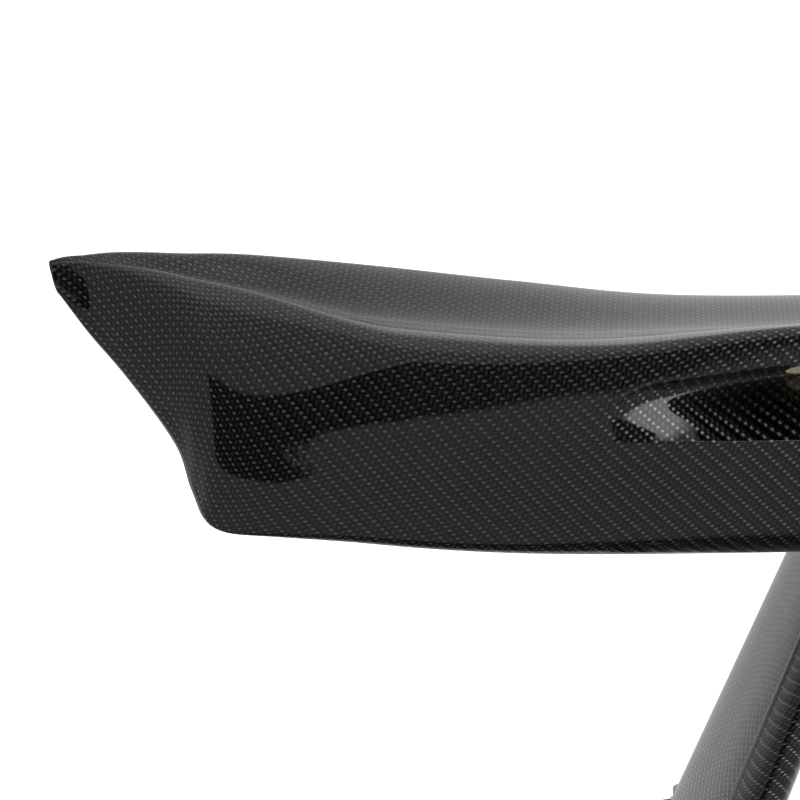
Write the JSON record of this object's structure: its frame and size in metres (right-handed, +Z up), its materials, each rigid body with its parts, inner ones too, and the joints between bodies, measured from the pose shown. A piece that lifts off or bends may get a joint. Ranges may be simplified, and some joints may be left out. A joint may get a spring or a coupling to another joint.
{
  "type": "racing rear wing",
  "caption": "Gloss carbon racing rear wing with upswept pointed ends, a scooped cove over a lower deck, and splayed legs on screwed feet.",
  "frame": {"origin": "middle of the span and of the overall depth, at the surface the foot pads rest on", "axes": "+X to the right end of the span, -Y to the rear (trailing lip side), +Z up"},
  "size_m": [1.3238, 0.1776, 0.2654],
  "materials": {
    "carbon_gloss": "clear-coated twill-weave carbon fibre laminate, high gloss",
    "carbon_inner": "uncoated carbon fibre laminate",
    "foam": "closed-cell structural foam",
    "aluminium": "milled",
    "black_aluminium": "black anodised, satin",
    "rubber": "matte",
    "steel": "zinc plated, satin"
  },
  "bodies": {
    "root": {"outer_skin": "carbon_gloss", "under_skin": "carbon_gloss", "spar": "carbon_inner", "core_centre": "foam", "rib_inner_left": "carbon_inner", "rib_outer_left": "carbon_inner", "core_bay_left": "foam", "core_end_left": "foam", "leg_left": "carbon_gloss", "leg_spine_left": "aluminium", "foot_plate_left": "black_aluminium", "foot_pad_left": "rubber", "foot_screw_rear_left": "steel", "foot_washer_rear_left": "steel", "spine_screw_rear_left": "steel", "foot_screw_front_left": "steel", "foot_washer_front_left": "steel", "spine_screw_front_left": "steel", "rib_inner_right": "carbon_inner", "rib_outer_right": "carbon_inner", "core_bay_right": "foam", "core_end_right": "foam", "leg_right": "carbon_gloss", "leg_spine_right": "aluminium", "foot_plate_right": "black_aluminium", "foot_pad_right": "rubber", "foot_screw_rear_right": "steel", "foot_washer_rear_right": "steel", "spine_screw_rear_right": "steel", "foot_screw_front_right": "steel", "foot_washer_front_right": "steel", "spine_screw_front_right": "steel"}
  },
  "joints": []
}
